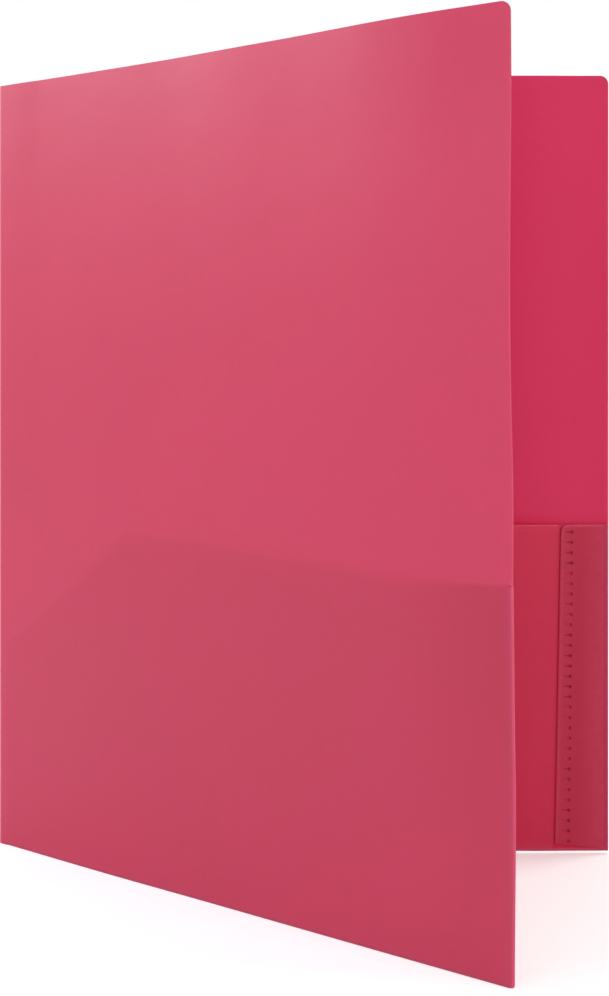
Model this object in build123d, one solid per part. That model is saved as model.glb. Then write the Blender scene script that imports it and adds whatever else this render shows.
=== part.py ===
from build123d import *
import os

# Letter-size two pocket folder in translucent sheet plastic, standing on its lower edge with the front
# cover part open. The folder is one die-cut sheet, so its pieces are the panels, folds, flaps and tabs
# that lie between its creases. Z is up and the origin is at the middle of the footprint.
#
# Each half is built around its cover, which lies in the XZ plane with its spine crease on the Z axis and
# its inside facing -Y. "Across" is the distance from the crease, "up" is the height, and "depth" is the
# distance inside the cover's middle plane.

# Sheet and covers
SHEET = 0.6  # thickness of the plastic
COVER_WIDTH = 231.0  # spine crease to free edge
COVER_HEIGHT = 292.0
CORNER_RADIUS = 3.2  # upper free corner of a cover

# Spine
SPINE_WIDTH = 5.0  # between the two spine creases
OPENING = 35.0  # degrees between the covers as they stand
CREASE_CLEARANCE = 0.1  # between a cover's edge and the round edge that it turns on

# Pocket
POCKET_HEIGHT = 123.0
POCKET_GAP = 1.2  # between the cover and the flap along the folds
MOUTH_GAP = 7.2  # between the cover and the flap where the mouth gapes widest
MOUTH_PEAK_SHARE = 0.645  # spine crease to the widest place in the mouth, of the cover's width
BOW_HANDLE_SHARE = 0.42  # how far the flap's bow stays level at its ends and peak, of each span

# Pocket flap
FLAP_START = 4.0  # spine crease to the flap's inner edge
FLAP_INSET = 1.5  # side fold to the flap's outer edge
CUT_ACROSS = 69.0  # where the slanted cut meets the mouth of the pocket
CUT_UP = 77.0  # where the slanted cut meets the flap's inner edge
CUT_SAG = 1.6  # how far the slanted cut dips below a straight line

# Side tab, folded in from the cover over the flap
FOLD_SET_BACK = 0.1  # free edge of the cover to the outside of the side fold
FOLD_RELIEF = 0.3  # base to the lower end of the side fold
TAB_LOW_WIDTH = 19.6  # from the cover's free edge, at the base
TAB_HIGH_WIDTH = 17.4  # from the cover's free edge, at the mouth
TAB_RISE = 1.8  # slope of the tab's lower edge, from the fold to the inner corner
TAB_CORNER = 2.5  # rounded corner at the mouth
TAB_CLEARANCE = 0.1  # between the tab and the flap

# Welds that hold the tab to the flap
WELD_COUNT = 31
WELD_LOW_UP = 4.0
WELD_TOP_MARGIN = 2.8  # mouth of the pocket to the highest weld
WELD_LOW_INSET = 15.3  # free edge to the lowest weld
WELD_HIGH_INSET = 13.9  # free edge to the highest weld
WELD_DOT = 1.1  # diameter of the round end
WELD_BAR = 2.4  # length of the bar beside it
WELD_BAR_WIDTH = 0.6
WELD_DENT = 0.15  # depth of the dent that a weld leaves in the tab
WELD_CLEARANCE = 0.03  # between a weld and its slot in the tab

OVERRUN = 10.0  # how far trimming shapes reach past the piece that they trim

# Sizes that follow from those above
CREASE_RADIUS = SHEET / 2
FLAP_DEPTH = SHEET + POCKET_GAP
MOUTH_PEAK = COVER_WIDTH * MOUTH_PEAK_SHARE
TAB_DEPTH = FLAP_DEPTH + SHEET + TAB_CLEARANCE
BOTTOM_FOLD_RADIUS = FLAP_DEPTH / 2
SIDE_FOLD_RADIUS = TAB_DEPTH / 2
FOLD_TOP = BOTTOM_FOLD_RADIUS + SHEET / 2
FOLD_START = COVER_WIDTH - FOLD_SET_BACK - SIDE_FOLD_RADIUS - SHEET / 2

FRONT_CREASE = Vector(-SPINE_WIDTH, 0, 0).rotate(Axis.Z, 90 - OPENING / 2)
FRONT_PLACE = Pos(FRONT_CREASE) * Rot(0, 0, -OPENING)


def outline(*points):
    """Flat face through points given as (across, up)."""
    return make_face(Polyline(*points, close=True))


def plate(face, depth, thickness):
    """Flat plate with an (across, up) outline and its middle plane at a depth."""
    return extrude(Plane.XZ.offset(depth - thickness / 2) * face, thickness)


def trimmer(face):
    """Block with an (across, up) outline, thick enough to trim any piece of the pocket."""
    return plate(face, TAB_DEPTH, 2 * (MOUTH_GAP + OVERRUN))


def cover():
    """Cover panel, cut back beside both folds, with a rounded upper free corner."""
    crease_edge = CREASE_RADIUS + CREASE_CLEARANCE
    face = outline(
        (crease_edge, 0),
        (FLAP_START, 0),
        (FLAP_START, FOLD_TOP),
        (FOLD_START, FOLD_TOP),
        (FOLD_START, POCKET_HEIGHT),
        (COVER_WIDTH, POCKET_HEIGHT),
        (COVER_WIDTH, COVER_HEIGHT),
        (crease_edge, COVER_HEIGHT),
    )
    free_corner = face.vertices().sort_by(Axis.Y)[-2:].sort_by(Axis.X)[-1]
    return plate(fillet(free_corner, CORNER_RADIUS), 0, SHEET)


def half_ring(radius):
    """Band of sheet bent half way round a circle, open towards -X."""
    outer = CenterArc((0, 0), radius + SHEET / 2, -90, 180)
    inner = CenterArc((0, 0), radius - SHEET / 2, -90, 180)
    ends = [Line(inner @ end, outer @ end) for end in (0, 1)]
    return make_face([outer, inner, *ends])


def bottom_fold():
    """Round fold along the base, from the cover up into the flap."""
    start = Vector(FLAP_START, -BOTTOM_FOLD_RADIUS, FOLD_TOP)
    section_plane = Plane(origin=start, x_dir=(0, 0, -1), z_dir=(1, 0, 0))
    return extrude(section_plane * half_ring(BOTTOM_FOLD_RADIUS), FOLD_START - FLAP_START)


def side_fold():
    """Round fold along the free edge, from the cover into the side tab."""
    start = Pos(FOLD_START, -SIDE_FOLD_RADIUS, FOLD_RELIEF)
    return extrude(start * half_ring(SIDE_FOLD_RADIUS), POCKET_HEIGHT - FOLD_RELIEF)


def bow_curves(depth, bow):
    """Two curves, seen from above, that rise by a bow to the widest place in the mouth and fall again."""
    curves = []
    for level_end in (0, FOLD_START):
        handle = (MOUTH_PEAK - level_end) * BOW_HANDLE_SHARE
        curves.append(
            Bezier(
                (level_end, -depth),
                (level_end + handle, -depth),
                (MOUTH_PEAK - handle, -depth - bow),
                (MOUTH_PEAK, -depth - bow),
            )
        )
    return curves


def bowed_sheet(depth, thickness):
    """Sheet over the whole pocket, straight along the base and bowed along the mouth."""
    sections = []
    for up, bow in ((FOLD_TOP, 0), (POCKET_HEIGHT, MOUTH_GAP - POCKET_GAP)):
        near = bow_curves(depth - thickness / 2, bow)
        far = bow_curves(depth + thickness / 2, bow)
        ends = [Line(near_curve @ 0, far_curve @ 0) for near_curve, far_curve in zip(near, far)]
        sections.append(Pos(0, 0, up) * make_face([*near, *far, *ends]))
    return loft(sections, ruled=True)


def pocket_flap():
    """Pocket flap, with a slanted cut beside the spine."""
    cut_high = (CUT_ACROSS, POCKET_HEIGHT)
    cut_low = (FLAP_START, CUT_UP)
    flap_end = FOLD_START - FLAP_INSET
    sides = Polyline(
        cut_low,
        (FLAP_START, -OVERRUN),
        (flap_end, -OVERRUN),
        (flap_end, POCKET_HEIGHT + OVERRUN),
        (CUT_ACROSS, POCKET_HEIGHT + OVERRUN),
        cut_high,
    )
    face = make_face(sides + SagittaArc(cut_high, cut_low, CUT_SAG))
    return bowed_sheet(FLAP_DEPTH, SHEET) & trimmer(face)


def weld_marks(grow):
    """All the weld marks in one row, as (across, up) shapes, grown all round."""
    low = Vector(COVER_WIDTH - WELD_LOW_INSET, WELD_LOW_UP)
    high = Vector(COVER_WIDTH - WELD_HIGH_INSET, POCKET_HEIGHT - WELD_TOP_MARGIN)
    bar = Rectangle(WELD_BAR + grow, WELD_BAR_WIDTH + 2 * grow, align=(Align.MAX, Align.CENTER))
    mark = Circle(WELD_DOT / 2 + grow) + bar
    places = [low + (high - low) * (index / (WELD_COUNT - 1)) for index in range(WELD_COUNT)]
    return Sketch() + [Pos(place) * mark for place in places]


def side_tab():
    """Tab that lies over the flap's outer edge, with a slot for each weld."""
    face = outline(
        (COVER_WIDTH - TAB_LOW_WIDTH, FOLD_TOP + TAB_RISE),
        (FOLD_START, FOLD_TOP),
        (FOLD_START, POCKET_HEIGHT),
        (COVER_WIDTH - TAB_HIGH_WIDTH, POCKET_HEIGHT),
    )
    mouth_corner = face.vertices().sort_by(Axis.Y)[-2:].sort_by(Axis.X)[0]
    slotted_face = fillet(mouth_corner, TAB_CORNER) - weld_marks(WELD_CLEARANCE)
    return bowed_sheet(TAB_DEPTH, SHEET) & trimmer(slotted_face)


def weld_row():
    """Plugs of melted plastic that seat on the flap and fill the tab's slots."""
    plug_height = TAB_CLEARANCE + SHEET - WELD_DENT
    plug_depth = FLAP_DEPTH + (SHEET + plug_height) / 2
    return bowed_sheet(plug_depth, plug_height) & trimmer(weld_marks(0))


def spine_strip():
    """Strip between the two spine creases, with a round edge on each of them."""
    middle = Pos(FRONT_CREASE / 2) * Rot(0, 0, 90 - OPENING / 2)
    return extrude(middle * SlotCenterToCenter(SPINE_WIDTH, SHEET), COVER_HEIGHT)


def folder():
    """Every piece by name, with the back cover's spine crease on the Z axis."""
    half = {
        "cover": cover(),
        "bottom_fold": bottom_fold(),
        "side_fold": side_fold(),
        "pocket_flap": pocket_flap(),
        "side_tab": side_tab(),
        "weld_row": weld_row(),
    }
    pieces = {"spine_strip": spine_strip()}
    for name, piece in half.items():
        pieces["back_" + name] = piece
        pieces["front_" + name] = FRONT_PLACE * mirror(piece, about=Plane.XZ)
    return pieces


PIECES = folder()
BOX = Compound(list(PIECES.values())).bounding_box()
TO_ORIGIN = Vector(-BOX.center().X, -BOX.center().Y, -BOX.min.Z)

os.makedirs("parts", exist_ok=True)
for node, piece in PIECES.items():
    export_step(Pos(TO_ORIGIN) * piece, f"parts/{node}.step")
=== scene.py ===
import math

import bmesh
import bpy
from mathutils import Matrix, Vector

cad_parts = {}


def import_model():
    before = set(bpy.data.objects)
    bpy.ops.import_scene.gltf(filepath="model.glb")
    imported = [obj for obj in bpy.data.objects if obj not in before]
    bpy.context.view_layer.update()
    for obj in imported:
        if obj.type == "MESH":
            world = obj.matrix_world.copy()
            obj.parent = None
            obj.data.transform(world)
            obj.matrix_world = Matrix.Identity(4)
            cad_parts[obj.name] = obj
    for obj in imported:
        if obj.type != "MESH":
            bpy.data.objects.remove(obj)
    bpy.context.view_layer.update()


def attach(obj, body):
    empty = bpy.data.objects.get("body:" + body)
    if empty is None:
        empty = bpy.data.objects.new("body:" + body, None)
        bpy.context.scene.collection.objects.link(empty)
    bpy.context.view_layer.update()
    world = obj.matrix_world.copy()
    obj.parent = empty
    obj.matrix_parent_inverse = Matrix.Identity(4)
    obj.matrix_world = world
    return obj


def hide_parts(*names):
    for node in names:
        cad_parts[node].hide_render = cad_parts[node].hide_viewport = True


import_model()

# Translucent plastic pocket folder. Every panel, fold, flap and tab is a closed sheet built over a fine grid,
# in millimetres, in its half's own directions: "across" from the spine crease, "depth" inside the cover's
# middle plane, and "up". Most of the sizes repeat those of the solids.

MM = 0.001

# Sheet, covers and spine
SHEET = 0.6  # thickness of the plastic
COVER_WIDTH = 231.0  # spine crease to free edge
COVER_HEIGHT = 292.0
CORNER_RADIUS = 3.2  # upper free corner of a cover
SPINE_WIDTH = 5.0  # between the two spine creases
OPENING = math.radians(35.0)  # between the covers as they stand

# Pocket
POCKET_HEIGHT = 123.0
FLAP_DEPTH = 0.8  # of the flap's middle plane, along the folds
TAB_DEPTH = 1.43  # of the side tab's middle plane
BOW_START = 52.0  # spine crease to where the mouth begins to gape
MOUTH_PEAK = 152.0  # spine crease to where it gapes widest
FOLD_TOP = 1.2  # base to the top of the bottom fold
FOLD_RELIEF = 0.3  # base to the lower end of the side fold
FOLD_START = 229.35  # spine crease to where the side fold begins

# Pocket flap
FLAP_START = 4.0  # spine crease to the flap's inner edge
FLAP_INSET = 1.5  # side fold to the flap's outer edge
FLAP_END = FOLD_START - FLAP_INSET
CUT_ACROSS = 69.0  # where the slanted cut meets the mouth of the pocket
CUT_UP = 77.0  # where the slanted cut meets the flap's inner edge
CUT_SAG = 1.6  # how far the slanted cut dips below a straight line
CUT_SLOPE = math.atan2(POCKET_HEIGHT - CUT_UP, CUT_ACROSS - FLAP_START)

# Side tab and its welds
TAB_LOW = COVER_WIDTH - 20.2  # spine crease to the tab's inner edge, at the base
TAB_HIGH = COVER_WIDTH - 18.0  # and at the mouth
TAB_RISE = 1.8  # slope of the tab's lower edge, from the fold to the inner corner
TAB_CORNER = 2.5  # rounded corner at the mouth
TAB_THINNED = 0.14  # how much thinner the tab is at its inner edge
WELD_COUNT = 31
WELD_LOW = (COVER_WIDTH - 15.3, 4.0)  # (across, up) of the lowest weld's round end
WELD_HIGH = (COVER_WIDTH - 13.9, POCKET_HEIGHT - 2.8)  # and of the highest one's
WELD_PITCH = (WELD_HIGH[1] - WELD_LOW[1]) / (WELD_COUNT - 1)
WELD_RADIUS = 0.55  # of the round end
WELD_BAR = 2.4  # length of the bar beside it
WELD_BAR_HALF = 0.3  # half the bar's width
WELD_DENT = 0.15  # depth of the dent that a weld leaves in the tab
WELD_RIM = 0.035  # height of the raised rim round the dent

# Creases, folds and cut edges
CREASE_HALF = 0.2  # half the sheet's thickness where a crease has thinned it
CREASE_REACH = 1.0  # how far from the crease the sheet is thinned
CREASE_TIP = 0.19  # how far the rounded tip of a panel reaches past its crease
CREASE_STEPS = [-CREASE_TIP, -0.17, -0.13, -0.07, 0, 0.1, 0.2, 0.35, 0.5, 0.65, 0.8, 1.0, 1.4, 2.2]
FOLD_ANGLES = [0, 2, 10, 20, 30, 38, 46, 54, 64, 76, 90, 104, 116, 126, 134, 142, 150, 160, 170, 178, 180]
FOLD_SQUARENESS = 0.72  # under 1, a fold's section is squarer than a half circle
EDGE_ROUND = 0.2  # rounding of a cut edge
EDGE_SEGMENTS = 2

# Grids, which have closer lines where the sheet bends or its marks change
COVER_GRID = 4.0
FLAP_GRID = 3.0
FOLD_GRID = 5.0
SPINE_GRID = 6.0
TIP_GRID = 0.4  # of a cover, at the end of its side fold
BAND_GRID = 0.7  # of a cover, along the mouth of its pocket
SHADOW_GRID = 0.3  # of a flap, beside the tab
WELD_GRID = 0.13  # of a tab, across its welds
EDGE_LINE = 0.3  # edge of a sheet to the next grid line
NEAR_REPEAT = 0.03  # grid lines closer than this are one line
ON_LINE = 0.01  # how close to a line an edge's middle is taken to lie on it
CLEAR_OF_FOLD = 0.05  # grid lines closer than this to the side fold's start give way to it

# Bends of the front cover, in mm inwards: along its top, by the share of its width, and along its free edge,
# by the share of its height
TOP_SWAY = (
    (0, 0), (0.13, 1.2), (0.26, 1.7), (0.39, 1.9), (0.52, 0.5),
    (0.65, -0.4), (0.75, -2.2), (0.84, -3.2), (0.92, -2.6), (1.0, -1.5),
)
EDGE_SWAY = (
    (0, 0.7), (0.17, 1.4), (0.30, 0.6), (0.41, 0.05), (0.50, 0.45),
    (0.60, -0.8), (0.70, -1.15), (0.80, -0.65), (0.90, 0.4), (1.0, 0.5),
)
BASE_SWAY = -0.4  # of the front cover's base, where it bends most
BACK_SWAY = 3.0  # of the back cover, where it bends most

# How far the mouth of the front pocket sinks, in mm, by the share of the cover's width
FRONT_DROOP = ((0, -1.1), (0.42, -1.0), (0.62, 2.2), (0.85, 4.9), (0.96, 4.3), (1.0, 3.6))

# Where the bends come in and go out, in shares of a cover's width or height. Soft steps are (start, reach).
TOP_EVENED = 0.05  # the curves above are evened out over this much to each side
EDGE_EVENED = 0.04
DROOP_EVENED = 0.03
TOP_SWAY_IN = (0, 0.1)
BASE_SWAY_END = 0.5
BACK_SWAY_IN = (0.3, 0.45)
BACK_SWAY_OUT = (0.82, 0.2)
RIPPLE_ACROSS_IN = (0, 0.125)
RIPPLE_UP_IN = (0.4, 0.25)

# Faint ripples of the covers: size in mm, and an (angle, start) wave across and up, in radians
FRONT_RIPPLE = (0.12, (7.1, 1.0), (5.3, 0.4))
BACK_RIPPLE = (0.15, (6.4, 0.3), (4.7, 1.1))

LIFT_REACH = 190.0  # spine crease to where a raised cover has its full lift


def clamp(x):
    return min(max(x, 0.0), 1.0)


def smooth(x):
    """Soft step from 0 at x = 0 to 1 at x = 1."""
    x = clamp(x)
    return x * x * (3 - 2 * x)


def rise(x, start, reach):
    """Soft step from 0 at a start to 1 at the end of its reach."""
    return smooth((x - start) / reach)


def fall(x, start, reach):
    """Soft step from 1 at a start to 0 at the end of its reach."""
    return 1 - rise(x, start, reach)


def swell(x):
    """Rises from 0 to 1 and falls back to 0 as x goes from 0 to 1."""
    return math.sin(math.pi * clamp(x)) ** 2


def peak(x, middle, width):
    """Bell curve of height 1."""
    return math.exp(-(((x - middle) / width) ** 2))


def along_curve(stations, x):
    """Smooth curve through stations, read at x."""
    for (x0, y0), (x1, y1) in zip(stations, stations[1:]):
        if x <= x1:
            break
    return y0 + (y1 - y0) * smooth((x - x0) / (x1 - x0))


def evened(stations, x, reach):
    """Curve through stations, evened out over a reach to each side of x."""
    return sum(along_curve(stations, x + reach * k / 2) for k in (-2, -1, 0, 1, 2)) / 5


def ripple(a, z, size, across_wave, up_wave):
    """Faint unevenness of a cover above its pocket, from a wave in each direction."""
    wave = math.sin(across_wave[0] * a + across_wave[1]) * math.sin(up_wave[0] * z + up_wave[1])
    return size * wave * rise(a, *RIPPLE_ACROSS_IN) * rise(z, *RIPPLE_UP_IN)


def front_sway(across, up):
    """Gentle bends of the front cover towards its top, its free edge and its base, in mm inwards."""
    a, z = clamp(across / COVER_WIDTH), up / COVER_HEIGHT
    top = evened(TOP_SWAY, a, TOP_EVENED) * rise(a, *TOP_SWAY_IN) * clamp(z) ** 3
    edge = evened(EDGE_SWAY, z, EDGE_EVENED) * a**3
    base = BASE_SWAY * swell(a / BASE_SWAY_END) * clamp(1 - z) ** 2
    return top + edge + base + ripple(a, z, *FRONT_RIPPLE)


def back_sway(across, up):
    """Gentle bend of the back cover towards its free edge, in mm inwards."""
    a, z = clamp(across / COVER_WIDTH), up / COVER_HEIGHT
    bend = BACK_SWAY * rise(a, *BACK_SWAY_IN) * fall(a, *BACK_SWAY_OUT)
    return bend + ripple(a, z, *BACK_RIPPLE)


def front_droop(across):
    return evened(FRONT_DROOP, across / COVER_WIDTH, DROOP_EVENED)


def back_droop(across):
    return 0.0


class Half:
    """One cover with its pocket: where its crease stands, and its directions seen from above.

    sway gives how far the cover bends inwards at a place, bow is how far the mouth of its pocket gapes, and
    droop gives how far the mouth sinks at a distance across. lift is how far the lower free corner has risen:
    the upper one rises twice as far. set_back is how far the side fold lies inside the cover's free edge, and
    dim is how much painted shade darkens that fold.
    """

    def __init__(self, name, crease, along, inward, sway, bow, droop, lift, set_back, dim):
        self.name = name
        self.body = name + "_half"
        self.crease = Vector(crease)
        self.along = Vector(along)
        self.inward = Vector(inward)
        self.sway = sway
        self.bow = bow
        self.droop = droop
        self.lift = lift
        self.set_back = set_back
        self.dim = dim

    def place(self, across, depth, up):
        """Point in metres, with the cover's bends and its lift."""
        flat = self.crease + self.along * across + self.inward * (depth + self.sway(across, up))
        raised = up + self.lift * rise(across, 0, LIFT_REACH) * (1 + up / COVER_HEIGHT)
        return Vector((flat.x, flat.y, raised)) * MM

    def settled(self, across, up):
        """Height of a point of the pocket, with its mouth sunk."""
        return up * (1 - self.droop(across) / POCKET_HEIGHT)


BACK_CREASE = (-114.598, 68.605)  # in the frame, seen from above
FRONT_CREASE = (
    BACK_CREASE[0] - SPINE_WIDTH * math.sin(OPENING / 2),
    BACK_CREASE[1] - SPINE_WIDTH * math.cos(OPENING / 2),
)
BACK = Half(
    name="back",
    crease=BACK_CREASE,
    along=(1, 0),
    inward=(0, -1),
    sway=back_sway,
    bow=5.0,
    droop=back_droop,
    lift=0.9,
    set_back=0.1,
    dim=0.65,
)
FRONT = Half(
    name="front",
    crease=FRONT_CREASE,
    along=(math.cos(OPENING), -math.sin(OPENING)),
    inward=(math.sin(OPENING), math.cos(OPENING)),
    sway=front_sway,
    bow=1.7,
    droop=front_droop,
    lift=0.0,
    set_back=0.4,
    dim=0.0,
)


def span(low, high, step):
    """Evenly spaced values from low to high, about a step apart."""
    count = max(1, round((high - low) / step))
    return [low + (high - low) * k / count for k in range(count + 1)]


def merged(*lists):
    """All the values in order, with near repeats left out."""
    values = sorted(v for values in lists for v in values)
    kept = values[:1]
    for v in values[1:]:
        if v - kept[-1] > NEAR_REPEAT:
            kept.append(v)
    return kept


def add_object(name, data):
    """New object in the scene."""
    obj = bpy.data.objects.new(name, data)
    bpy.context.scene.collection.objects.link(obj)
    return obj


def add_mesh(name, bm):
    """New mesh object in the scene, from a finished bmesh."""
    mesh = bpy.data.meshes.new(name)
    bm.to_mesh(mesh)
    bm.free()
    return add_object(name, mesh)


OUTER, CUT, INNER = range(3)  # order of a sheet's materials


def sheet(name, us, vs, keep, point, cut, **marks):
    """Closed thin sheet over the kept cells of a grid.

    point(u, v, side) gives a point of the outer face (side -1) or the inner one (side 1), in metres.
    keep(u, v) is asked at each cell's middle, and cut(u, v) at each outside edge's middle: True for a bare
    cut edge, which is rounded and has a material of its own, as each face does.

    Each of the marks is a function of (u, v) that the materials read by its name: whiten, where the
    plastic is whitened at bends and where painted highlights lie along rims and edges; shade, where painted
    shade deepens the inside; pressed, where a weld has melted it; dim, where painted shade darkens a fold;
    behind and show, where a flap lies close behind and how much painted shade it casts through the cover.
    """
    bm = bmesh.new()
    layers = {mark: bm.verts.layers.float.new(mark) for mark in marks}
    weight = bm.edges.layers.float.new("bevel_weight_edge")
    corners = {}

    def corner(i, j, side):
        if (i, j, side) not in corners:
            v = bm.verts.new(point(us[i], vs[j], side))
            for mark, amount in marks.items():
                v[layers[mark]] = amount(us[i], vs[j])
            corners[i, j, side] = v
        return corners[i, j, side]

    cells = {
        (i, j)
        for i in range(len(us) - 1)
        for j in range(len(vs) - 1)
        if keep((us[i] + us[i + 1]) / 2, (vs[j] + vs[j + 1]) / 2)
    }
    for i, j in sorted(cells):
        ring = ((i, j), (i + 1, j), (i + 1, j + 1), (i, j + 1))
        for side in (-1, 1):
            order = ring if side == 1 else ring[::-1]
            face = bm.faces.new([corner(a, b, side) for a, b in order])
            face.smooth = True
            face.material_index = INNER if side == 1 else OUTER
        for k, (di, dj) in enumerate(((0, -1), (1, 0), (0, 1), (-1, 0))):
            if (i + di, j + dj) in cells:
                continue
            a, b = ring[k], ring[(k + 1) % 4]
            wall = bm.faces.new((corner(*b, 1), corner(*a, 1), corner(*a, -1), corner(*b, -1)))
            wall.smooth = True
            bare = cut((us[a[0]] + us[b[0]]) / 2, (vs[a[1]] + vs[b[1]]) / 2)
            wall.material_index = CUT if bare else OUTER
            for side in (-1, 1):
                edge = bm.edges.get((corner(*a, side), corner(*b, side)))
                if bare:
                    edge[weight] = 1.0
                else:
                    edge.smooth = False
    bmesh.ops.recalc_face_normals(bm, faces=bm.faces)
    obj = add_mesh(name, bm)
    rounding = obj.modifiers.new("cut_edges", "BEVEL")
    rounding.limit_method = "WEIGHT"
    rounding.width = EDGE_ROUND * MM
    rounding.segments = EDGE_SEGMENTS
    rounding.material = CUT
    rounding.harden_normals = True
    return obj


def always(u, v):
    return True


def crease_half(distance):
    """Half the sheet's thickness at a distance from a crease, rounded off past the crease itself."""
    if distance < 0:
        return math.sqrt(CREASE_HALF**2 - distance**2)
    return SHEET / 2 - (SHEET / 2 - CREASE_HALF) * fall(distance, 0, CREASE_REACH)


def flap_top(across):
    """Height of the flap: level along the mouth, with a slanted cut beside the spine that sags a little."""
    t = clamp((across - FLAP_START) / (CUT_ACROSS - FLAP_START))
    return CUT_UP + (POCKET_HEIGHT - CUT_UP) * t - CUT_SAG * 4 * t * (1 - t) / math.cos(CUT_SLOPE)


# Marks on the covers. Soft steps are given as (start, reach), in mm.
CREASE_PALE = (0, 1.6)  # from a crease
FOLD_PALE = (0, 2.5)  # from a fold
SIDE_FOLD_PALE = 0.05  # how much a cover is whitened beside its side fold
BOTTOM_FOLD_PALE = 0.2  # and beside its bottom fold
TIP_UP = 0.6  # end of the side fold to the middle of the pale spot above it
TIP_PALE = (0, 1.5)  # from that middle
TIP_SHARE = 2.4  # how much that spot is whitened, for each mm of the fold's set-back
BAND_IN = (-4, 3)  # lower edge of the band of painted shade along the mouth, from the mouth up
BAND_OUT = (0.4, 6)  # its upper edge
BAND_ACROSS = (60, 30)  # where it starts beside the spine
BAND_OVER_TAB = (205, 15)  # where it weakens above the side tab
BAND_LOSS = 0.6  # how much it weakens there
FLAP_EDGE = 1.0  # width of the soft edge of the flap's painted shade
FLAP_EDGE_MORE = 3.4  # how much wider that edge gets
FLAP_EDGE_WIDE = (127, 97)  # where it is wider
FLAP_SHADE_AMOUNT = 0.18  # how much painted shade the flap casts through the cover
FLAP_SHADE_MORE = 0.34  # how much more painted shade under the side tab
FLAP_SHADE_ACROSS = (182, 46)  # where that comes in
FLAP_SHADE_UP = (10, 90)  # where the painted shade grows, from the base up
FLAP_SHADE_LOW = 0.5  # share of the painted shade at the base


def cover(half):
    """Cover panel: creased along the spine, round at its upper free corner, stepped beside the side fold."""
    flat_end = COVER_WIDTH - CORNER_RADIUS
    fold_end = half.settled(FOLD_START, POCKET_HEIGHT)
    corner_base = COVER_HEIGHT - 2 * CORNER_RADIUS

    def height(u, v):
        past = max(u - flat_end, 0.0)
        drop = CORNER_RADIUS - math.sqrt(max(CORNER_RADIUS**2 - past**2, 0.0))
        return v - drop * clamp((v - corner_base) / (COVER_HEIGHT - corner_base))

    def point(u, v, side):
        return half.place(u, side * crease_half(u), height(u, v))

    def keep(u, v):
        if v < FOLD_TOP:
            return u < FLAP_START
        return u < FOLD_START or v > fold_end

    def cut(u, v):
        joins_bottom = abs(v - FOLD_TOP) < ON_LINE and u > FLAP_START
        joins_side = abs(u - FOLD_START) < ON_LINE and v < fold_end
        return not (joins_bottom or joins_side or u < 0)

    def whiten(u, v):
        side_fold = SIDE_FOLD_PALE * fall(FOLD_START - u, *FOLD_PALE) * (v < fold_end)
        bottom_fold = BOTTOM_FOLD_PALE * fall(v - FOLD_TOP, *FOLD_PALE) * (u > FLAP_START)
        from_tip = math.hypot(u - COVER_WIDTH, v - fold_end - TIP_UP)
        fold_tip = TIP_SHARE * half.set_back * fall(from_tip, *TIP_PALE)
        return max(fall(u, *CREASE_PALE), side_fold, bottom_fold, fold_tip)

    def shade(u, v):
        """Painted shade in a band along the mouth, beyond the slanted cut and weaker above the tab."""
        band = rise(v - POCKET_HEIGHT, *BAND_IN) * fall(v - POCKET_HEIGHT, *BAND_OUT)
        return band * rise(u, *BAND_ACROSS) * (1 - BAND_LOSS * rise(u, *BAND_OVER_TAB))

    def behind(u, v):
        """Distance inside the outline of the flap, in widths of the soft edge of its painted shade."""
        inside = half.settled(u, flap_top(u)) - v
        if u < CUT_ACROSS:
            inside = min(inside * math.cos(CUT_SLOPE), u - FLAP_START)
        start, reach = FLAP_EDGE_WIDE
        return inside / (FLAP_EDGE + FLAP_EDGE_MORE * swell((u - start) / reach))

    # Painted shade of the flap seen through the cover: how much it darkens the cover
    def show(u, v):
        amount = FLAP_SHADE_AMOUNT + FLAP_SHADE_MORE * rise(u, *FLAP_SHADE_ACROSS)
        return amount * (FLAP_SHADE_LOW + (1 - FLAP_SHADE_LOW) * rise(v, *FLAP_SHADE_UP))

    over_cut = span(FLAP_START, CUT_ACROSS, FLAP_GRID)
    beyond_cut = span(CUT_ACROSS, flat_end - 2, COVER_GRID)
    at_corner = [flat_end + CORNER_RADIUS * math.sin(math.radians(a)) for a in range(0, 91, 10)]
    us = merged(CREASE_STEPS, over_cut, beyond_cut, at_corner)
    us = sorted([u for u in us if abs(u - FOLD_START) > CLEAR_OF_FOLD] + [FOLD_START])
    at_base = [0, 0.2, 0.6, FOLD_TOP, 1.5]
    beside_fold = span(3, fold_end - EDGE_LINE, COVER_GRID)
    at_fold_tip = span(fold_end, fold_end + 2.4, TIP_GRID)
    at_band = span(POCKET_HEIGHT + 0.6, POCKET_HEIGHT + 9, BAND_GRID)
    above_band = span(POCKET_HEIGHT + 12, COVER_HEIGHT - CORNER_RADIUS - 1, COVER_GRID)
    at_top = [COVER_HEIGHT - below for below in (3.5, 2.5, 1.5, 0.7, 0.2, 0)]
    vs = merged(at_base, beside_fold, at_fold_tip, at_band, above_band, at_top)
    marks = {"whiten": whiten, "shade": shade, "behind": behind, "show": show}
    return sheet(half.name + "_cover_panel", us, vs, keep, point, cut, **marks)


def fold_section(angle, radius, reach, side):
    """(outwards, depth) of a point on a fold half way round, with a given radius and outward reach."""
    bend = math.radians(angle)
    out = math.sin(bend) ** FOLD_SQUARENESS
    turn = math.copysign(abs(math.cos(bend)) ** FOLD_SQUARENESS, math.cos(bend))
    return (reach - side * SHEET / 2) * out, radius - (radius - side * SHEET / 2) * turn


def fold_pale(angle, ends, middle):
    """How much a fold is whitened: an amount at its ends, and more towards its middle."""
    return ends + middle * math.sin(math.radians(angle))


def within_fold(angle):
    return 0 < angle < 180


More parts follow.
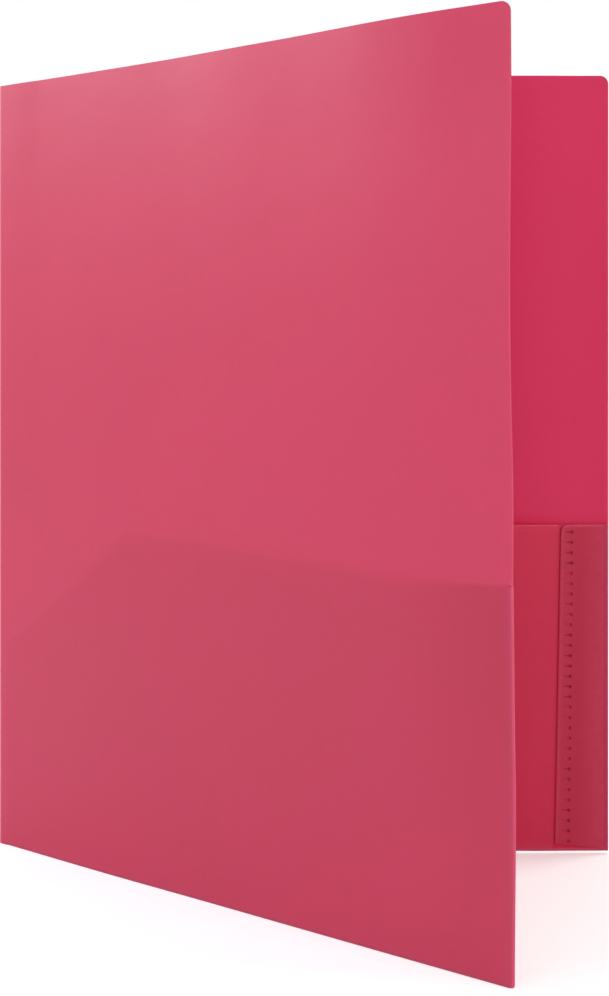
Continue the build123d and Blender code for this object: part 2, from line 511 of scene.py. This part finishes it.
def bottom_fold(half):
    """Round fold along the base, from the cover up into the flap."""

    def point(u, angle, side):
        down, depth = fold_section(angle, FLAP_DEPTH / 2, FOLD_TOP - SHEET / 2, side)
        return half.place(u, depth, FOLD_TOP - down)

    def cut(u, angle):
        return within_fold(angle)

    def whiten(u, angle):
        return fold_pale(angle, ends=0.15, middle=0.2)

    at_ends = [FLAP_START + EDGE_LINE, FOLD_START - EDGE_LINE]
    us = merged(span(FLAP_START, FOLD_START, FOLD_GRID), at_ends)
    return sheet(half.name + "_bottom_fold_round", us, FOLD_ANGLES, always, point, cut, whiten=whiten)


def side_fold(half):
    """Round fold along the free edge, from the cover into the side tab."""
    reach = COVER_WIDTH - half.set_back - FOLD_START - SHEET / 2

    def point(angle, v, side):
        out, depth = fold_section(angle, TAB_DEPTH / 2, reach, side)
        return half.place(FOLD_START + out, depth, half.settled(FOLD_START, v))

    def cut(angle, v):
        return within_fold(angle)

    def whiten(angle, v):
        return fold_pale(angle, ends=0.05, middle=0.06)

    # Painted shade on the fold, darkest where it turns furthest out
    def dim(angle, v):
        return half.dim * math.sin(math.radians(angle))

    at_ends = [FOLD_RELIEF, FOLD_RELIEF + EDGE_LINE, POCKET_HEIGHT - EDGE_LINE]
    vs = merged(span(3, POCKET_HEIGHT, COVER_GRID), at_ends)
    return sheet(half.name + "_side_fold_round", FOLD_ANGLES, vs, always, point, cut, whiten=whiten, dim=dim)


def bow_share(across):
    """How far the flap stands out at its mouth, as a share of the most."""
    if across < MOUTH_PEAK:
        return rise(across, BOW_START, MOUTH_PEAK - BOW_START)
    return fall(across, MOUTH_PEAK, FOLD_START - MOUTH_PEAK)


def gape(half, across, up):
    """How far the pocket stands off the cover beyond the gap at its folds."""
    return half.bow * bow_share(across) * (up - FOLD_TOP) / (POCKET_HEIGHT - FOLD_TOP)


def tab_edge(up):
    """Distance from the spine crease to the side tab's inner edge."""
    low_end = FOLD_TOP + TAB_RISE
    return TAB_LOW + (TAB_HIGH - TAB_LOW) * (up - low_end) / (POCKET_HEIGHT - low_end)


# Marks on the pocket flap, with soft steps in mm but for the first, which is a share of the flap's height
FLAP_BASE_PALE = (0, 0.02)  # from the bottom fold up
FLAP_BASE_SHARE = 0.3
FLAP_LINE = (2.1, 0.25)  # pale line along the mouth: how far below it, and its width
FLAP_LINE_SHARE = 0.25
FLAP_RIM_PALE = (0.3, 0.4)  # painted highlight along the mouth's rim, from the mouth down
FLAP_RIM_SHARE = 0.9
TAB_SHADOW = (-1.3, 0.8)  # painted shadow beside and under the tab, from its inner edge
TAB_SHADOW_SHARE = 1.25


def pocket_flap(half):
    """Pocket flap: bowed along its mouth, with a slanted cut beside the spine.

    v is a share of the flap's height.
    """

    def height(u, v):
        return FOLD_TOP + v * (flap_top(u) - FOLD_TOP)

    def point(u, v, side):
        up = height(u, v)
        return half.place(u, FLAP_DEPTH + gape(half, u, up) + side * SHEET / 2, half.settled(u, up))

    def cut(u, v):
        return v > 0

    # Whitening near the bottom fold, a pale line below the mouth, and a painted highlight along the mouth's
    # rim
    def whiten(u, v):
        below = (1 - v) * (flap_top(u) - FOLD_TOP)
        base = FLAP_BASE_SHARE * fall(v, *FLAP_BASE_PALE)
        line = FLAP_LINE_SHARE * peak(below, *FLAP_LINE) * (u > CUT_ACROSS)
        return max(base, line, FLAP_RIM_SHARE * fall(below, *FLAP_RIM_PALE))

    # Painted shadow of the side tab's edge on the flap, beside and under the tab
    def shade(u, v):
        return TAB_SHADOW_SHARE * rise(u - tab_edge(height(u, v)), *TAB_SHADOW)

    at_ends = [FLAP_START, FLAP_START + EDGE_LINE, FLAP_END - EDGE_LINE, FLAP_END]
    along_cut = span(6, CUT_ACROSS, FLAP_GRID)
    at_cut_end = [CUT_ACROSS - EDGE_LINE, CUT_ACROSS + EDGE_LINE]
    along_mouth = span(CUT_ACROSS + 3, TAB_LOW - 3, FLAP_GRID)
    beside_tab = span(TAB_LOW - 2, TAB_HIGH + 1, SHADOW_GRID)
    under_tab = span(TAB_HIGH + 3, FLAP_END - 1.5, FLAP_GRID)
    us = merged(at_ends, along_cut, at_cut_end, along_mouth, beside_tab, under_tab)
    at_base = [0, 0.003, 0.01, 0.025]
    at_mouth = [0.974, 0.979, 0.981, 0.983, 0.985, 0.987, 0.993, 0.995, 0.997, 0.9985, 1.0]
    vs = at_base + span(0.05, 0.965, 0.03) + at_mouth
    return sheet(half.name + "_pocket_flap_sheet", us, vs, always, point, cut, whiten=whiten, shade=shade)


def weld_place(index):
    """(across, up) of a weld's round end."""
    t = index / (WELD_COUNT - 1)
    return tuple(low + (high - low) * t for low, high in zip(WELD_LOW, WELD_HIGH))


def nearest_weld(u, v):
    """Place of a point relative to the nearest weld's round end."""
    index = min(max(round((v - WELD_LOW[1]) / WELD_PITCH), 0), WELD_COUNT - 1)
    across, up = weld_place(index)
    return u - across, v - up


def dot_distance(u, v):
    """Distance outside the round end of the nearest weld mark, or less than zero inside it."""
    return math.hypot(*nearest_weld(u, v)) - WELD_RADIUS


def weld_distance(u, v):
    """Distance outside the nearest weld mark's outline, or less than zero inside it."""
    x, y = nearest_weld(u, v)
    bar_x, bar_y = abs(x + WELD_BAR / 2) - WELD_BAR / 2, abs(y) - WELD_BAR_HALF
    bar = math.hypot(max(bar_x, 0), max(bar_y, 0)) + min(max(bar_x, bar_y), 0)
    return min(dot_distance(u, v), bar)


# Shape of a weld's dent and marks on the side tab, with soft steps in mm
DENT_WALL = (-0.09, 0.15)  # from the weld mark's outline out
DENT_RIM = (0.17, 0.1)  # raised rim: how far outside that outline, and its width
TAB_EDGE_THIN = (0, 0.5)  # thinned inner edge of the tab
TAB_WELD_PALE = (4.4, 1.0)  # whitened strip of the tab with its welds, from the inner edge
TAB_WELD_SHARE = 0.1
TAB_EDGE_PALE = (0.6, 1.2)  # painted highlight along the inner edge of the tab
TAB_EDGE_SHARE = 0.35
TAB_RIM_PALE = (0.4, 0.5)  # painted highlight along the mouth's rim, from the mouth down
TAB_RIM_SHARE = 0.6
TAB_TOP_PALE = (0, 2.2)  # fainter painted highlight, and further down
TAB_TOP_SHARE = 0.3
TAB_OUTER_PALE = (7, 11)  # painted highlight that grows from the inner edge out to the fold
TAB_OUTER_SHARE = 0.4
DOT_MELTED = (0.02, 0.25)  # from a weld's round end out


def weld_dent(u, v):
    """Depth of the pressed mark in the tab's face, with a slightly raised rim."""
    distance = weld_distance(u, v)
    return WELD_DENT * fall(distance, *DENT_WALL) - WELD_RIM * peak(distance, *DENT_RIM)


def side_tab(half):
    """Tab folded in over the flap's outer edge, dented by a row of welds.

    o is the distance from the tab's inner edge.
    """
    even = 6.0  # strip along the inner edge where o is a true distance
    low_end = 3.2  # height below which the rows follow the sloping lower edge
    reach = FOLD_START - TAB_LOW

    def across_up(o, v):
        line = tab_edge(v)
        past = max(v - (POCKET_HEIGHT - TAB_CORNER), 0.0)
        rounded = TAB_CORNER - math.sqrt(max(TAB_CORNER**2 - past**2, 0.0))
        u = line + min(o, even) + rounded * clamp(1 - o / (2 * TAB_CORNER))
        u += (FOLD_START - line - even) * max(o - even, 0.0) / (reach - even)
        if v < low_end:
            edge = FOLD_TOP + TAB_RISE * clamp((FOLD_START - u) / reach)
            v = edge + (v - FOLD_TOP) / (low_end - FOLD_TOP) * (low_end - edge)
        return u, v

    def point(o, v, side):
        u, up = across_up(o, v)
        dent = weld_dent(u, up) + TAB_THINNED * fall(o, *TAB_EDGE_THIN) if side == 1 else 0.0
        return half.place(u, TAB_DEPTH + gape(half, u, up) + side * SHEET / 2 - dent, half.settled(u, up))

    def cut(o, v):
        return o < reach

    # Whitened strip along the welds, and painted highlights along the inner edge, along the mouth's rim and
    # towards the fold
    def whiten(o, v):
        below = POCKET_HEIGHT - v
        strip = TAB_WELD_SHARE * fall(o, *TAB_WELD_PALE) + TAB_EDGE_SHARE * fall(o, *TAB_EDGE_PALE)
        rim = TAB_RIM_SHARE * fall(below, *TAB_RIM_PALE) + TAB_TOP_SHARE * fall(below, *TAB_TOP_PALE)
        return max(strip, rim, TAB_OUTER_SHARE * rise(o, *TAB_OUTER_PALE))

    def pressed(o, v):
        return fall(dot_distance(*across_up(o, v)), *DOT_MELTED)

    at_edge = [0, 0.2, 0.5]
    across_welds = span(0.7, 5.3, WELD_GRID)
    to_fold = [5.6, even, 7.2, 9, 11, 13, 15, reach - 1, reach - EDGE_LINE, reach]
    outs = merged(at_edge, across_welds, to_fold)
    above = [0.09, 0.18, 0.25, 0.32, 0.39, 0.46, 0.54, 0.64, 0.78]
    about = [0.0] + above + [-a for a in above]
    at_base = [FOLD_TOP, 1.4, 2.2, 3.0]
    at_welds = [weld_place(k)[1] + a for k in range(WELD_COUNT) for a in about]
    between_welds = [weld_place(k)[1] + WELD_PITCH / 2 for k in range(WELD_COUNT - 1)]
    at_mouth = [POCKET_HEIGHT - below for below in (1.5, 1.0, 0.6, 0.3, 0.1, 0)]
    vs = merged(at_base, at_welds, between_welds, at_mouth)
    return sheet(half.name + "_side_tab_sheet", outs, vs, always, point, cut, whiten=whiten, pressed=pressed)


DOT_STEPS = 18
BAR_STEPS = 4
BAR_FAINT = (0.5, 0.5)  # where a weld's bar turns fainter, from the middle of its round end
BAR_END = (1.7, 0.5)  # where it darkens again
BAR_END_LOSS = 0.6


def weld_outline(grow):
    """Outline of a weld mark about its round end: a dot with a bar on its spine side."""
    radius, half_bar, end = WELD_RADIUS + grow, WELD_BAR_HALF + grow, WELD_BAR + grow
    neck = math.asin(half_bar / radius)
    points = []
    for k in range(DOT_STEPS + 1):
        a = math.pi - neck - (2 * math.pi - 2 * neck) * k / DOT_STEPS
        points.append((radius * math.cos(a), radius * math.sin(a)))
    shoulder = -radius * math.cos(neck)
    bar_length = -end + half_bar / 2 - shoulder
    bar = [shoulder + bar_length * k / BAR_STEPS for k in range(1, BAR_STEPS + 1)]
    points += [(x, -half_bar) for x in bar]
    points += [(-end, -half_bar / 2), (-end, half_bar / 2)]
    points += [(x, half_bar) for x in bar[::-1]]
    return points


def weld_row(half):
    """Melted plugs that fill the marks: each seats on the flap and is domed in its dent."""
    face = TAB_DEPTH + SHEET / 2 - WELD_DENT
    seat = FLAP_DEPTH + SHEET / 2
    levels = (  # how much larger than the mark a ring is, and its depth
        (-0.02, seat),
        (-0.02, face - 0.06),
        (-0.04, face - 0.01),
        (-0.09, face + 0.02),
        (-0.15, face + 0.03),
    )
    bm = bmesh.new()
    faint = bm.verts.layers.float.new("faint")
    for index in range(WELD_COUNT):
        across, up = weld_place(index)
        rings = []
        for grow, depth in levels:
            ring = []
            for x, y in weld_outline(grow):
                u, v = across + x, up + y
                vert = bm.verts.new(half.place(u, depth + gape(half, u, v), half.settled(u, v)))
                vert[faint] = rise(-x, *BAR_FAINT) * (1 - BAR_END_LOSS * rise(-x, *BAR_END))
                ring.append(vert)
            rings.append(ring)
        for low, high in zip(rings, rings[1:]):
            for k in range(len(low)):
                m = (k + 1) % len(low)
                bm.faces.new((low[k], low[m], high[m], high[k]))
        bm.faces.new(rings[0])
        bm.faces.new(rings[-1])
    bmesh.ops.triangulate(bm, faces=[f for f in bm.faces if len(f.verts) > 4])
    bmesh.ops.recalc_face_normals(bm, faces=bm.faces)
    for f in bm.faces:
        f.smooth = True
    return add_mesh(half.name + "_weld_marks", bm)


def spine_strip():
    """Strip between the two creases, thinned and rounded along both."""
    middle = (Vector(BACK_CREASE) + Vector(FRONT_CREASE)) / 2
    along = (Vector(FRONT_CREASE) - Vector(BACK_CREASE)).normalized()
    inward = Vector((math.cos(OPENING / 2), -math.sin(OPENING / 2)))
    reach = SPINE_WIDTH / 2

    def point(u, v, side):
        flat = middle + along * u + inward * side * crease_half(reach - abs(u))
        return Vector((flat.x, flat.y, v)) * MM

    def cut(u, v):
        return abs(u) < reach

    def whiten(u, v):
        return fall(reach - abs(u), *CREASE_PALE)

    tips = [reach - s for s in CREASE_STEPS]
    us = merged(tips, [-t for t in tips], [0.0])
    at_ends = [0, EDGE_LINE, COVER_HEIGHT - EDGE_LINE, COVER_HEIGHT]
    vs = merged(span(4, COVER_HEIGHT - 4, SPINE_GRID), at_ends)
    return sheet("spine_strip_sheet", us, vs, always, point, cut, whiten=whiten)


# Materials


def rgba(colour, times=1.0):
    """Colour with an alpha of 1, made lighter or darker."""
    return [min(times * c, 1.0) for c in colour] + [1.0]


class Nodes:
    """Short hand for building the nodes of one material or world."""

    def __init__(self, owner):
        owner.use_nodes = True
        self.owner = owner
        self.tree = owner.node_tree
        self.tree.nodes.clear()

    def add(self, kind, inputs=None, **settings):
        node = self.tree.nodes.new(kind)
        for key, value in settings.items():
            setattr(node, key, value)
        for key, value in (inputs or {}).items():
            self.put(node.inputs[key], value)
        return node

    def put(self, socket, value):
        if isinstance(value, bpy.types.NodeSocket):
            self.tree.links.new(value, socket)
        else:
            socket.default_value = value

    def places(self):
        return self.add("ShaderNodeTexCoord").outputs["Object"]

    def mark(self, name):
        return self.add("ShaderNodeAttribute", attribute_name=name).outputs["Fac"]

    def stretched(self, where, scale):
        return self.add("ShaderNodeMapping", {"Vector": where, "Scale": scale}).outputs["Vector"]

    def noise(self, where, scale, detail=2.0, roughness=0.5):
        inputs = {"Vector": where, "Scale": scale, "Detail": detail, "Roughness": roughness}
        return self.add("ShaderNodeTexNoise", inputs).outputs["Fac"]

    def ramp(self, value, low, high, to_low=0.0, to_high=1.0):
        inputs = {"Value": value, "From Min": low, "From Max": high, "To Min": to_low, "To Max": to_high}
        return self.add("ShaderNodeMapRange", inputs).outputs["Result"]

    def spread(self, noise, to_low=0.0, to_high=1.0):
        """Stretches the middle of a noise's range."""
        return self.ramp(noise, 0.3, 0.7, to_low, to_high)

    def math(self, operation, a, b, **settings):
        return self.add("ShaderNodeMath", {0: a, 1: b}, operation=operation, **settings).outputs[0]

    def mix(self, share, a, b):
        node = self.add("ShaderNodeMix", data_type="RGBA")
        for name, value in (("Factor", share), ("A", a), ("B", b)):
            self.put(next(s for s in node.inputs if s.name == name and s.enabled), value)
        return next(s for s in node.outputs if s.enabled)

    def share(self, value, amount):
        return self.math("MULTIPLY", value, amount)

    def bump(self, height, strength, distance, **inputs):
        inputs.update({"Height": height, "Strength": strength, "Distance": distance})
        return self.add("ShaderNodeBump", inputs).outputs["Normal"]

    def blend(self, share, first, second):
        """Mix of two shaders, with a share of the second."""
        return self.add("ShaderNodeMixShader", {0: share, 1: first.outputs[0], 2: second.outputs[0]})

    def finished(self, shader):
        """The material, once its shader is on its surface."""
        self.add("ShaderNodeOutputMaterial", {"Surface": shader.outputs[0]})
        return self.owner


COLOUR = (0.755, 0.035, 0.121)
THROUGH = (0.53, 0.115, 0.245)  # colour of the light that comes through the sheet
WHITENED_AND_HIGHLIGHT = (0.97, 0.16, 0.28)  # whitened plastic at bends, and painted highlight at rims and edges
MELTED = (0.34, 0.004, 0.022)  # round the dots of the welds
PAINTED_SHADE_TINT = (1.1, 0.45, 0.72)  # shares of the colour, in painted shade
FLAP_SHADE_TINT = (0.82, 0.1, 0.5)  # shares of the colour, in the painted shade of a flap behind
FOLD_SHADE_TINT = 0.1  # share of the colour, where the painted shade on a fold is darkest
THROUGH_SHARE = 0.40  # how much of the sheet's look is light that comes through
WHITENED_AND_HIGHLIGHT_SHARE = 0.5
SPECK_SHARE = 0.5
SCUFF_SHARE = 0.015
PAINTED_SHADE_SHARE = 0.6
MELTED_SHARE = 0.85
PALE_SHARE = 0.55  # how far towards white scuffs and specks are
UNEVEN_WHITENING_AND_HIGHLIGHT = (0.4, 1.2)  # times the whitening and the painted highlights, in places
CLOUD_TINTS = (0.975, 1.025)  # times the colour
CLOUD_THROUGH_TINT = 0.95  # times the colour of the light that comes through
CLOUD_THROUGH_SHARE = 0.35
PIGMENT_TINT = 1.08
PIGMENT_RAMP = (0.3, 0.75, 0.0, 0.3)  # two values of its noise, and its shares there
ROUGHNESS = 0.44
CLOUD_ROUGHNESS = 0.05  # how much rougher or smoother it is in places
CLOUD_RANGE = (0.2, 0.8)  # values of the cloud's noise there
SCUFF_ROUGHNESS = 0.03
OUTER_SHINE = 0.5
INNER_SHINE = 0.16
REFRACTION = 1.49

# Scales of the sheet's patterns, in noise cells for each metre
CLOUD_SCALE = 14.0
WAVE_SCALE = 60.0
PIGMENT_SCALE = 420.0
BEND_SCALE = 520.0
GRAIN_SCALE = 2600.0
SCUFF_SCALES = (520.0, 520.0, 9.0)
SPECK_SCALE = 55.0
SPECK_SIZE = (0.004, 0.011)  # in cells: the whole of a speck, and where it has faded out
SPECK_CHOICE = (0.82, 0.84)  # only the palest cells have one
SCUFF_CHOICE = (0.66, 0.80)  # only the highest noise is a scuff

# Bumps, each as (strength, height in metres)
GRAIN_BUMP = (0.35, 0.00003)
WAVE_BUMP = (0.3, 0.0004)
EDGE_BUMP = (0.4, 0.00005)
WELD_BUMP = (0.5, 0.00004)


def plastic(name, colour, shine, inside):
    """Translucent sheet plastic: cloudy pigment, fine matt grain, faint scuffs and specks, whitened at bends,
    with painted highlights along rims and edges, and painted shade on a darkened fold and where a flap lies
    behind.

    The inside also has the bands of painted shade and the melted places round the welds.
    """
    n = Nodes(bpy.data.materials.new(name))
    where = n.places()
    cloud = n.noise(where, CLOUD_SCALE, detail=3.0)
    pigment = n.noise(where, PIGMENT_SCALE)
    streaks = n.noise(n.stretched(where, SCUFF_SCALES), 1.0, detail=3.0, roughness=0.65)
    scuff = n.ramp(streaks, *SCUFF_CHOICE)
    # Whitening at bends, and painted highlights along rims and edges, uneven in places
    uneven = n.spread(n.noise(where, BEND_SCALE, detail=3.0), *UNEVEN_WHITENING_AND_HIGHLIGHT)
    bend = n.share(n.mark("whiten"), uneven)
    cell = n.add("ShaderNodeTexVoronoi", {"Vector": where, "Scale": SPECK_SCALE})
    near = n.ramp(cell.outputs["Distance"], *SPECK_SIZE, 1.0, 0.0)
    speck = n.share(near, n.ramp(cell.outputs["Color"], *SPECK_CHOICE))

    pale = rgba([PALE_SHARE + (1 - PALE_SHARE) * c for c in colour])
    tint = n.mix(n.spread(cloud), *(rgba(colour, times) for times in CLOUD_TINTS))
    tint = n.mix(n.ramp(pigment, *PIGMENT_RAMP), tint, rgba(colour, PIGMENT_TINT))
    tint = n.mix(n.share(scuff, SCUFF_SHARE), tint, pale)
    tint = n.mix(n.share(bend, WHITENED_AND_HIGHLIGHT_SHARE), tint, rgba(WHITENED_AND_HIGHLIGHT))
    tint = n.mix(n.share(speck, SPECK_SHARE), tint, pale)
    # Painted shade along the mouth and beside the side tab, on the inside only
    if inside:
        deeper = [share * c for share, c in zip(PAINTED_SHADE_TINT, colour)]
        tint = n.mix(n.share(n.mark("shade"), PAINTED_SHADE_SHARE), tint, rgba(deeper))
        tint = n.mix(n.share(n.mark("pressed"), MELTED_SHARE), tint, rgba(MELTED))
    # Painted shade on a darkened fold
    tint = n.mix(n.mark("dim"), tint, rgba(colour, FOLD_SHADE_TINT))
    # Painted shade of a flap that lies behind the sheet
    flap = n.share(n.ramp(n.mark("behind"), -0.5, 0.5), n.mark("show"))
    tint = n.mix(flap, tint, rgba([share * c for share, c in zip(FLAP_SHADE_TINT, colour)]))

    gloss = n.ramp(cloud, *CLOUD_RANGE, ROUGHNESS - CLOUD_ROUGHNESS, ROUGHNESS + CLOUD_ROUGHNESS)
    gloss = n.math("ADD", gloss, n.share(scuff, SCUFF_ROUGHNESS))
    grain = n.bump(n.noise(where, GRAIN_SCALE, detail=3.0, roughness=0.6), *GRAIN_BUMP)
    waves = n.bump(n.noise(where, WAVE_SCALE), *WAVE_BUMP, Normal=grain)
    front = n.add("ShaderNodeBsdfPrincipled", {"Base Color": tint, "Roughness": gloss, "Normal": waves})
    front.inputs["IOR"].default_value = REFRACTION
    front.inputs["Specular IOR Level"].default_value = shine / (1 - THROUGH_SHARE)
    dimmer = n.spread(cloud, to_high=CLOUD_THROUGH_SHARE)
    glow = n.mix(dimmer, rgba(THROUGH), rgba(THROUGH, CLOUD_THROUGH_TINT))
    backlit = n.add("ShaderNodeBsdfTranslucent", {"Color": glow, "Normal": grain})
    return n.finished(n.blend(THROUGH_SHARE, front, backlit))


EDGE_MARK_SCALE = 900.0
EDGE_CLOUD_SCALE = 40.0
EDGE_THROUGH_SHARE = 0.5
EDGE_TINTS = (0.88, 1.0)  # times the colour
EDGE_CLOUD_TINT = 1.15
EDGE_CLOUD_RAMP = (0.4, 0.7, 0.0, 0.3)  # two values of its noise, and its shares there
EDGE_ROUGHNESS = (0.45, 0.6)


def cut_edge(name, colour, through):
    """Bare cut edge of the sheet: paler, with fine marks from the die."""
    n = Nodes(bpy.data.materials.new(name))
    where = n.places()
    marks = n.noise(where, EDGE_MARK_SCALE, detail=3.0, roughness=0.6)
    cloud = n.noise(where, EDGE_CLOUD_SCALE)
    tint = n.mix(n.spread(marks), *(rgba(colour, times) for times in EDGE_TINTS))
    tint = n.mix(n.ramp(cloud, *EDGE_CLOUD_RAMP), tint, rgba(colour, EDGE_CLOUD_TINT))
    gloss = n.spread(marks, *EDGE_ROUGHNESS)
    normal = n.bump(marks, *EDGE_BUMP)
    front = n.add("ShaderNodeBsdfPrincipled", {"Base Color": tint, "Roughness": gloss, "Normal": normal})
    backlit = n.add("ShaderNodeBsdfTranslucent", {"Color": rgba(through)})
    return n.finished(n.blend(EDGE_THROUGH_SHARE, front, backlit))


WELD_SCALE = 700.0
WELD_TINTS = (0.7, 1.3)  # times the colour
WELD_ROUGHNESS = (0.30, 0.45)
WELD_SHINE = 0.12


def melted(name, colour, bar):
    """Melted and pressed plastic of the welds: dark and a little uneven in the dots, fainter in the bars."""
    n = Nodes(bpy.data.materials.new(name))
    uneven = n.noise(n.places(), WELD_SCALE, detail=3.0)
    tint = n.mix(n.spread(uneven), *(rgba(colour, times) for times in WELD_TINTS))
    tint = n.mix(n.mark("faint"), tint, rgba(bar))
    gloss = n.spread(uneven, *WELD_ROUGHNESS)
    normal = n.bump(uneven, *WELD_BUMP)
    front = n.add("ShaderNodeBsdfPrincipled", {"Base Color": tint, "Roughness": gloss, "Normal": normal})
    front.inputs["Specular IOR Level"].default_value = WELD_SHINE
    return n.finished(front)


# Cut edges, each with its colour and that of the light through it, and the welds with their dots and bars
EDGE = cut_edge("cut_edge", (0.78, 0.05, 0.12), (0.88, 0.14, 0.29))
# The covers' cut edges are paler, a painted highlight of the light that comes out at the edge; the tab's is a
# deeper red, painted for the shade along its inner edge
OTHER_EDGES = {
    "cover_sheet": cut_edge("cover_edge", (0.69, 0.08, 0.155), (0.80, 0.21, 0.37)),
    "tab_sheet": cut_edge("tab_edge", (0.85, 0.02, 0.07), (0.95, 0.06, 0.14)),
}
WELD = melted("weld_mark", (0.24, 0.003, 0.017), (0.57, 0.022, 0.082))

# Shares of the colour for each kind of sheet, as painted shade: two or three layers look deeper than one, as
# less light comes through them
PAINTED_LAYER_SHADE = {
    "cover_sheet": (1.0, 1.0, 1.0),
    "spine_sheet": (1.0, 1.0, 1.0),
    "fold_sheet": (0.88, 0.95, 0.95),
    "pocket_sheet": (0.955, 0.955, 0.79),
    "tab_sheet": (0.79, 0.80, 0.655),
}
GLOSSY_OUTSIDE = ("cover_sheet", "spine_sheet", "fold_sheet")


def sheet_materials(slot):
    """(outer face, cut edge, inner face): the covers, spine and folds are glossier outside than inside."""
    colour = [depth * c for depth, c in zip(PAINTED_LAYER_SHADE[slot], COLOUR)]
    inside = plastic(slot + "_inside", colour, INNER_SHINE, True)
    edge = OTHER_EDGES.get(slot, EDGE)
    if slot not in GLOSSY_OUTSIDE:
        return inside, edge, inside
    return plastic(slot, colour, OUTER_SHINE, False), edge, inside


SHEETS = {slot: sheet_materials(slot) for slot in PAINTED_LAYER_SHADE}


def dress(obj, slot, body, node, *materials):
    """Gives a piece its materials and its body, and sets it in place of a solid. The slot is not used."""
    for material in materials:
        obj.data.materials.append(material)
    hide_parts(node)
    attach(obj, body)


MAKERS = {
    "cover": (cover, "cover_sheet"),
    "bottom_fold": (bottom_fold, "fold_sheet"),
    "side_fold": (side_fold, "fold_sheet"),
    "pocket_flap": (pocket_flap, "pocket_sheet"),
    "side_tab": (side_tab, "tab_sheet"),
}
for half in (BACK, FRONT):
    for piece, (make, slot) in MAKERS.items():
        outer, edge, inner = SHEETS[slot]
        if half is BACK and piece == "side_fold":
            outer = inner
        dress(make(half), slot, half.body, f"{half.name}_{piece}", outer, edge, inner)
    dress(weld_row(half), "weld_mark", half.body, f"{half.name}_weld_row", WELD)
dress(spine_strip(), "spine_sheet", "spine", "spine_strip", *SHEETS["spine_sheet"])


# Stage, light and camera

FLOOR_SIZE = 8.0  # half its width, in metres
FLOOR_CELLS = 8
FLOOR_GREYS = (0.89, 0.91)
FLOOR_SCALE = 30.0
FLOOR_LIFT = (0.5, 2.0, 0.2, 0.55)  # two distances in metres, and how much white is added to the floor there
WORLD_LIGHT = 0.53  # strength of the surroundings as a light; as a background they are white

# (name, place, target, size, power, colour), in metres and watts
LAMPS = (
    ("key_softbox", (-0.75, -1.10, 0.75), (-0.02, 0.0, 0.15), (0.8, 0.8), 1.05, (1, 1, 1)),
    ("left_softbox", (-1.15, -0.05, 0.36), (-0.02, 0.0, 0.15), (1.2, 0.7), 0.7, (1, 1, 1)),
    ("left_top_softbox", (-0.95, 0.15, 0.72), (-0.10, 0.06, 0.25), (0.45, 0.35), 8.1, (0.98, 1.0, 1.06)),
    ("inside_lamp", (0.47, 0.24, 1.20), (-0.03, 0.03, 0.15), (0.25, 0.25), 3.7, (1, 1, 1)),
    ("right_lamp", (1.35, -0.20, 0.45), (0.0, 0.0, 0.15), (0.3, 0.3), 3.9, (1, 1, 1)),
    ("right_softbox", (1.00, -0.90, 0.55), (0.1, 0.06, 0.15), (0.8, 0.8), 9.5, (1, 1, 1)),
)

CAMERA_PLACE = (0.04729, -0.54540, 0.18459)
CAMERA_TURN = math.radians(4.29)  # to the left, seen from above
CAMERA_LENS = 58.02
CAMERA_SENSOR = 36.0
CAMERA_SHIFT = -0.1339
CAMERA_NEAR = 0.01  # nothing closer than this is drawn


def background_rays(n, path):
    """1 for a ray that shows the background: from the camera, off a shiny face or through a clear one."""
    seen = path.outputs["Is Camera Ray"]
    for kind in ("Is Glossy Ray", "Is Transmission Ray"):
        seen = n.math("MAXIMUM", seen, path.outputs[kind])
    return seen


def floor():
    """Wide pale floor, with the folder's shadow kept on it, that the camera sees as white further away."""
    n = Nodes(bpy.data.materials.new("pale_floor"))
    where = n.places()
    low, high = (rgba((grey, grey, grey)) for grey in FLOOR_GREYS)
    tint = n.mix(n.spread(n.noise(where, FLOOR_SCALE, detail=3.0)), low, high)
    plain = n.add("ShaderNodeBsdfDiffuse", {"Color": tint})
    seen = background_rays(n, n.add("ShaderNodeLightPath"))
    away = n.add("ShaderNodeVectorMath", {0: where}, operation="LENGTH").outputs["Value"]
    strength = n.share(seen, n.ramp(away, *FLOOR_LIFT))
    lift = n.add("ShaderNodeEmission", {"Color": (1, 1, 1, 1), "Strength": strength})
    both = n.add("ShaderNodeAddShader", {0: plain.outputs[0], 1: lift.outputs[0]})
    bm = bmesh.new()
    bmesh.ops.create_grid(bm, x_segments=FLOOR_CELLS, y_segments=FLOOR_CELLS, size=FLOOR_SIZE)
    obj = add_mesh("floor", bm)
    obj.data.materials.append(n.finished(both))


def world():
    """Even white surroundings, dimmer as a light than as a background."""
    n = Nodes(bpy.data.worlds.new("surroundings"))
    path = n.add("ShaderNodeLightPath")
    seen = background_rays(n, path)
    seen = n.math("SUBTRACT", seen, path.outputs["Is Diffuse Ray"], use_clamp=True)
    strength = n.add("ShaderNodeMix", {0: seen, 2: WORLD_LIGHT, 3: 1.0}, data_type="FLOAT").outputs[0]
    background = n.add("ShaderNodeBackground", {"Color": (1, 1, 1, 1), "Strength": strength})
    n.add("ShaderNodeOutputWorld", {"Surface": background.outputs[0]})
    bpy.context.scene.world = n.owner


def soft_light(name, place, target, size, power, colour):
    data = bpy.data.lights.new(name, "AREA")
    data.color = colour
    data.shape = "RECTANGLE"
    data.size, data.size_y = size
    data.energy = power
    obj = add_object(name, data)
    obj.location = place
    obj.rotation_euler = (Vector(target) - Vector(place)).to_track_quat("-Z", "Y").to_euler()


def camera():
    """Level camera at the photograph's place, with the frame shifted down."""
    data = bpy.data.cameras.new("camera")
    data.sensor_width = CAMERA_SENSOR
    data.lens = CAMERA_LENS
    data.shift_y = CAMERA_SHIFT
    data.clip_start = CAMERA_NEAR
    obj = add_object("camera", data)
    obj.location = CAMERA_PLACE
    obj.rotation_euler = (math.radians(90.0), 0.0, CAMERA_TURN)
    bpy.context.scene.camera = obj


floor()
world()
for lamp in LAMPS:
    soft_light(*lamp)
camera()
bpy.context.scene.view_settings.view_transform = "Standard"
